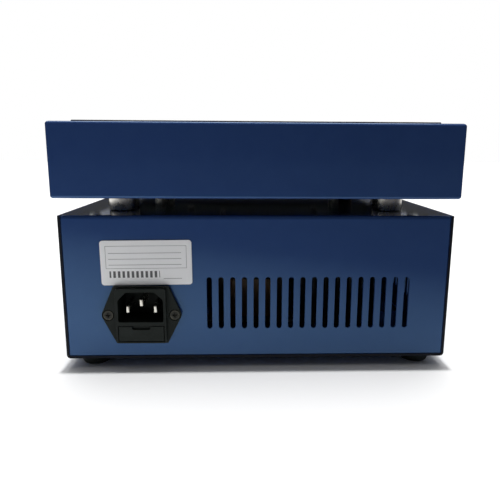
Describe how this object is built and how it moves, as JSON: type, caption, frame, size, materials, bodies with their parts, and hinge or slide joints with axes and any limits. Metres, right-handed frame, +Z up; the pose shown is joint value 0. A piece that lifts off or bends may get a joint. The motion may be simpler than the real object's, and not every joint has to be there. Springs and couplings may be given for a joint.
{
  "type": "desoldering hot plate",
  "caption": "Electric hot plate for desoldering boards: heated plate in a shallow tray on posts above a vented box with mains inlet, fuse drawer, rocker switch and push buttons.",
  "frame": {"origin": "on the bench plane, under the middle of the bounding box", "axes": "+Z up, -Y towards the user and the control panel, +Y towards the mains inlet at the rear, +X to the user's right"},
  "size_m": [0.2012, 0.2078, 0.1261],
  "materials": {
    "blue_paint": "gloss powder coat",
    "rubber": "matt",
    "zinc": "bright zinc plate",
    "zinc_sink": "mill finish",
    "chrome": "polished",
    "dark_aluminium": "hard anodised",
    "pan_steel": "mill finish",
    "mineral_mat": "fibrous",
    "mica": "matt",
    "sleeve": "braided",
    "black_plastic": "fine matt",
    "brass": "plated",
    "glass": "clear",
    "label": "satin silver",
    "window": "smoked red",
    "button": "satin",
    "board": "solder mask",
    "core": "varnished laminations",
    "ceramic": "glazed"
  },
  "bodies": {
    "stand": {"base_chassis": "blue_paint", "base_cover": "blue_paint", "foot_front_left": "rubber", "foot_front_right": "rubber", "foot_rear_left": "rubber", "foot_rear_right": "rubber", "foot_screw_front_left": "zinc", "foot_screw_front_right": "zinc", "foot_screw_rear_left": "zinc", "foot_screw_rear_right": "zinc", "cover_screw_front_left": "zinc", "cover_screw_front_right": "zinc", "cover_screw_rear_left": "zinc", "cover_screw_rear_right": "zinc", "post_front_left": "chrome", "post_front_right": "chrome", "post_rear_left": "chrome", "post_rear_right": "chrome", "post_bolt_front_left": "zinc", "post_bolt_front_right": "zinc", "post_bolt_rear_left": "zinc", "post_bolt_rear_right": "zinc", "tray_shell": "blue_paint", "tray_screw_front_left": "zinc", "tray_screw_front_right": "zinc", "tray_screw_rear_left": "zinc", "tray_screw_rear_right": "zinc", "heater_pan": "pan_steel", "insulation_mat": "mineral_mat", "heater_element": "mica", "heating_plate": "dark_aluminium", "plate_standoff_front_left": "zinc", "plate_standoff_front_right": "zinc", "plate_standoff_rear_left": "zinc", "plate_standoff_rear_right": "zinc", "temperature_probe": "zinc", "heater_lead_sleeve": "sleeve", "lead_grommet": "rubber", "inlet_body": "black_plastic", "inlet_pin_live": "brass", "inlet_pin_neutral": "brass", "inlet_pin_earth": "brass", "inlet_screw_left": "zinc", "inlet_screw_right": "zinc", "rating_label": "label", "display_window": "window", "control_board": "board", "switch_frame": "black_plastic", "transformer": "core", "triac_heat_sink": "zinc_sink", "power_triac": "black_plastic", "terminal_block": "ceramic"},
    "fuse_drawer": {"fuse_drawer": "black_plastic", "fuse": "glass"},
    "power_rocker": {"switch_rocker": "black_plastic"},
    "button_1_cap": {"button_1": "button"},
    "button_2_cap": {"button_2": "button"},
    "button_3_cap": {"button_3": "button"},
    "button_4_cap": {"button_4": "button"}
  },
  "joints": [
    {"name": "power_rocker_tilt", "type": "hinge", "parent": "stand", "child": "power_rocker", "pos_m": [0.064, -0.0974, 0.0399], "axis": [-1, 0, 0], "range_deg": [0, 18]},
    {"name": "fuse_drawer_slide", "type": "slide", "parent": "stand", "child": "fuse_drawer", "axis": [0, 1, 0], "range_m": [0, 0.014]},
    {"name": "button_1_press", "type": "slide", "parent": "stand", "child": "button_1_cap", "axis": [0, 1, 0], "range_m": [0, 0.0007], "stiffness_N_per_m": 400, "springref_m": -0.0008},
    {"name": "button_2_press", "type": "slide", "parent": "stand", "child": "button_2_cap", "axis": [0, 1, 0], "range_m": [0, 0.0007], "stiffness_N_per_m": 400, "springref_m": -0.0008},
    {"name": "button_3_press", "type": "slide", "parent": "stand", "child": "button_3_cap", "axis": [0, 1, 0], "range_m": [0, 0.0007], "stiffness_N_per_m": 400, "springref_m": -0.0008},
    {"name": "button_4_press", "type": "slide", "parent": "stand", "child": "button_4_cap", "axis": [0, 1, 0], "range_m": [0, 0.0007], "stiffness_N_per_m": 400, "springref_m": -0.0008}
  ]
}
